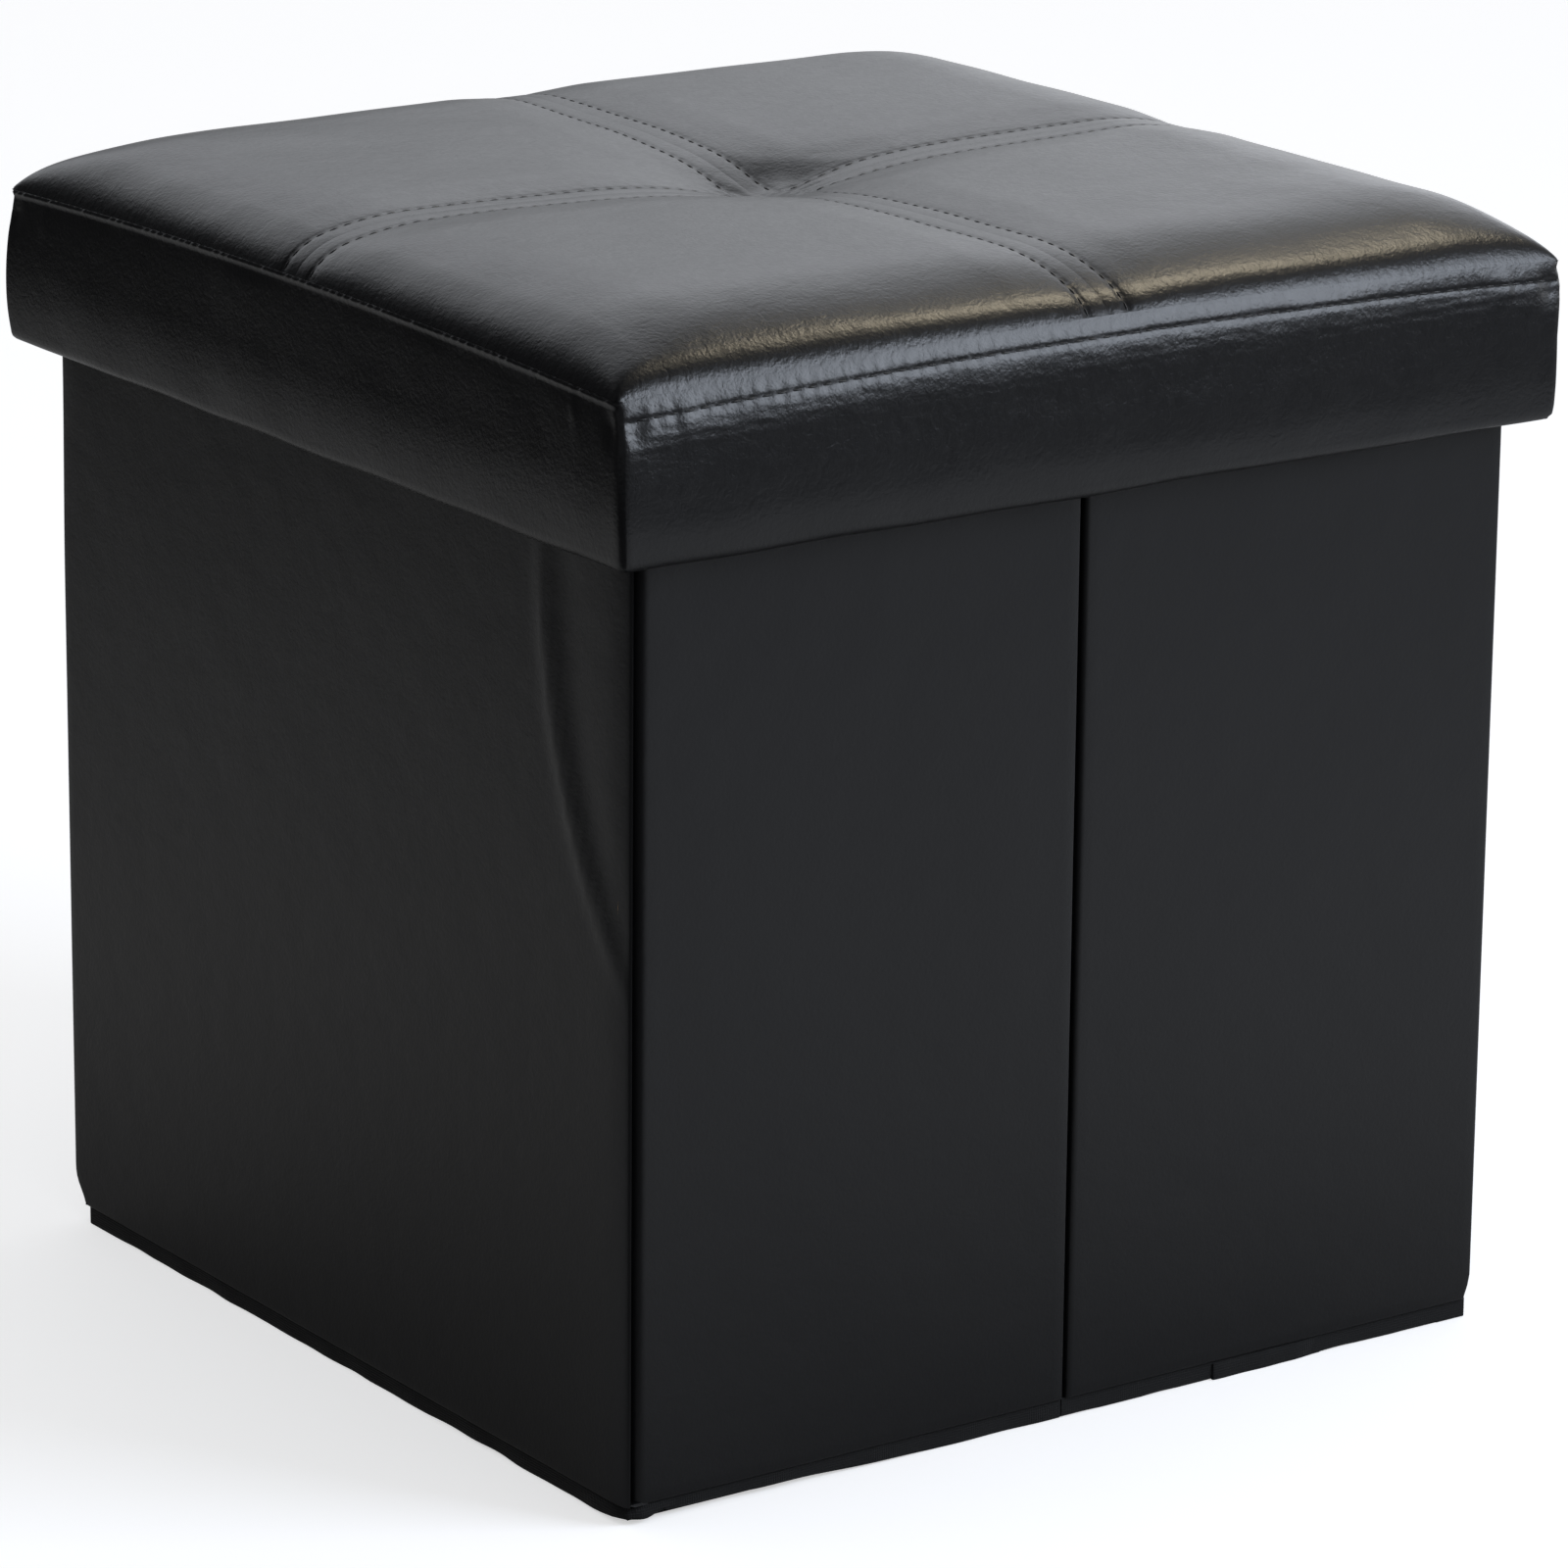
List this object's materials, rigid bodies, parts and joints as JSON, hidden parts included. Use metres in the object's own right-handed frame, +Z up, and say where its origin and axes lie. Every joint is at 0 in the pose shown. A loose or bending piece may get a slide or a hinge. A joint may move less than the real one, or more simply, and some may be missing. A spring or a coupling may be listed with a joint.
{
  "type": "folding storage ottoman",
  "caption": "Cube storage ottoman in black leatherette: creased walls fold flat, a board flap forms the floor, and a tufted cushioned lid lifts off.",
  "frame": {"origin": "middle of the footprint, on the floor under the bound hems", "axes": "+Z up through the lid; -Y out of the creased front wall; +X along the front wall towards the right side wall"},
  "size_m": [0.381, 0.381, 0.4028],
  "materials": {
    "leatherette": "black coated leatherette, fine pebble grain, satin sheen",
    "lining_cloth": "black spun-bonded non-woven",
    "hem_tape": "black matte binding tape",
    "tab_webbing": "black woven webbing",
    "foam": "upholstery foam",
    "fibreboard": "raw medium fibreboard",
    "staple_steel": "galvanised wire",
    "washer_plastic": "moulded nylon",
    "thread": "black bonded polyester twine"
  },
  "bodies": {
    "side_wall_left": {"left_board": "fibreboard", "left_cover": "leatherette", "left_lining": "lining_cloth", "left_hem": "hem_tape", "front_left_gusset": "leatherette", "back_left_gusset": "leatherette", "floor_cloth": "lining_cloth", "base_hinge_tape": "lining_cloth"},
    "front_left_half": {"front_left_board": "fibreboard", "front_left_cover": "leatherette", "front_left_lining": "lining_cloth", "front_left_hem": "hem_tape", "front_crease_strip": "leatherette"},
    "front_right_half": {"front_right_board": "fibreboard", "front_right_cover": "leatherette", "front_right_lining": "lining_cloth", "front_right_hem": "hem_tape"},
    "side_wall_right": {"right_board": "fibreboard", "right_cover": "leatherette", "right_lining": "lining_cloth", "right_hem": "hem_tape", "front_right_gusset": "leatherette", "back_right_gusset": "leatherette"},
    "back_left_half": {"back_left_board": "fibreboard", "back_left_cover": "leatherette", "back_left_lining": "lining_cloth", "back_left_hem": "hem_tape", "back_crease_strip": "leatherette"},
    "back_right_half": {"back_right_board": "fibreboard", "back_right_cover": "leatherette", "back_right_lining": "lining_cloth", "back_right_hem": "hem_tape"},
    "base_flap": {"base_board": "fibreboard", "base_wrap": "lining_cloth", "pull_tab": "tab_webbing"},
    "lid": {"lid_board": "fibreboard", "lid_rail_front": "fibreboard", "lid_rail_back": "fibreboard", "lid_rail_left": "fibreboard", "lid_rail_right": "fibreboard", "lid_foam": "foam", "top_cover_front_left": "leatherette", "top_cover_front_right": "leatherette", "top_cover_back_left": "leatherette", "top_cover_back_right": "leatherette", "band_front": "leatherette", "band_right": "leatherette", "band_back": "leatherette", "band_left": "leatherette", "lid_lining": "lining_cloth", "rim_staples": "staple_steel", "tuft_thread": "thread", "tuft_washer": "washer_plastic"}
  },
  "joints": [
    {"name": "fold", "type": "hinge", "parent": "side_wall_left", "child": "front_left_half", "pos_m": [-0.162, -0.169, 0], "axis": [0, 0, 1], "range_deg": [0, 90], "deforming": ["front_left_hem", "front_right_hem", "right_hem", "back_left_hem", "back_right_hem", "floor_cloth", "front_left_gusset", "back_left_gusset", "front_right_gusset", "back_right_gusset", "front_crease_strip", "back_crease_strip"]},
    {"name": "front_crease", "type": "hinge", "parent": "front_left_half", "child": "front_right_half", "pos_m": [0, -0.17975, 0], "axis": [0, 0, 1], "range_deg": [-180, 0]},
    {"name": "front_right_corner", "type": "hinge", "parent": "front_right_half", "child": "side_wall_right", "pos_m": [0.162, -0.169, 0], "axis": [0, 0, 1], "range_deg": [0, 90]},
    {"name": "back_left_corner", "type": "hinge", "parent": "side_wall_left", "child": "back_left_half", "pos_m": [-0.162, 0.169, 0], "axis": [0, 0, 1], "range_deg": [-90, 0]},
    {"name": "back_crease", "type": "hinge", "parent": "back_left_half", "child": "back_right_half", "pos_m": [0, 0.17975, 0], "axis": [0, 0, 1], "range_deg": [0, 180]},
    {"name": "base_flap_hinge", "type": "hinge", "parent": "side_wall_left", "child": "base_flap", "pos_m": [-0.1675, 0, 0.0053], "axis": [0, -1, 0], "range_deg": [0, 90], "deforming": ["base_hinge_tape"]},
    {"name": "lid_lift", "type": "slide", "parent": "side_wall_left", "child": "lid", "axis": [0, 0, 1], "range_m": [0, 0.4]}
  ],
  "couplings": [
    {"joint": "front_crease", "follows": "fold", "ratio": -2},
    {"joint": "front_right_corner", "follows": "fold", "ratio": 1},
    {"joint": "back_left_corner", "follows": "fold", "ratio": -1},
    {"joint": "back_crease", "follows": "fold", "ratio": 2}
  ]
}
